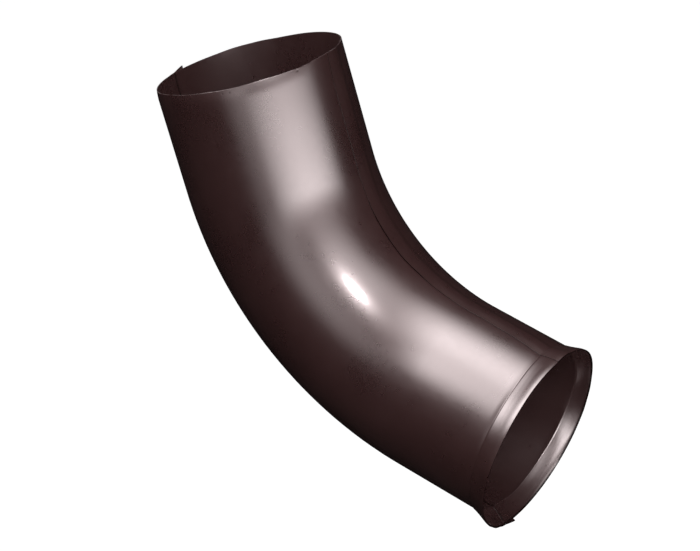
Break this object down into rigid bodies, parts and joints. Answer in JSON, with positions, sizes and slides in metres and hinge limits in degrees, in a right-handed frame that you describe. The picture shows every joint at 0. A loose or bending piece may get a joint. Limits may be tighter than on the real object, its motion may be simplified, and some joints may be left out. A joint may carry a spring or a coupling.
{
  "type": "downspout elbow",
  "caption": "Round bend of painted sheet steel that turns a rainwater downspout outwards, with a plain inlet end and a flared outlet lip.",
  "frame": {"origin": "centre of the inlet mouth", "axes": "+Z out of the inlet along its axis, so upwards in use; +X is the side that the outlet turns to; -Y is the half that faces the viewer in the picture"},
  "size_m": [0.1974, 0.102, 0.2594],
  "materials": {
    "brown_paint": "semi-gloss dark brown paint"
  },
  "bodies": {
    "root": {"front_half_shell": "brown_paint", "back_half_shell": "brown_paint"}
  },
  "joints": []
}
